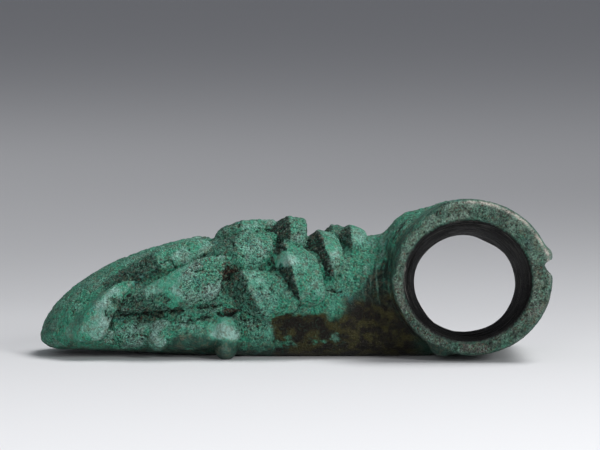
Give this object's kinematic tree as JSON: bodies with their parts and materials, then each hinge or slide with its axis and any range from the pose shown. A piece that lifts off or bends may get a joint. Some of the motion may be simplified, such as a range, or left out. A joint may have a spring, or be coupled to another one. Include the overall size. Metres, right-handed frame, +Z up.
{
  "type": "bronze age axe head",
  "caption": "Cast bronze shaft-hole axe head: a thick rounded blade clad in overlapping blunt lappets, running into a tapered socket ring. It lies on its cheek.",
  "frame": {"origin": "on the ground, under the middle of the casting's box as it lies on its cheek", "axes": "+X from the cutting edge to the socket, +Y along the shaft hole towards its narrower mouth, +Z up from the ground the axe head lies on"},
  "size_m": [0.1268, 0.0468, 0.0398],
  "materials": {
    "patinated_bronze": "cast bronze under green and brown patina, matt and crusty with smooth worn spots"
  },
  "bodies": {
    "root": {"axe_head": "patinated_bronze"}
  },
  "joints": []
}
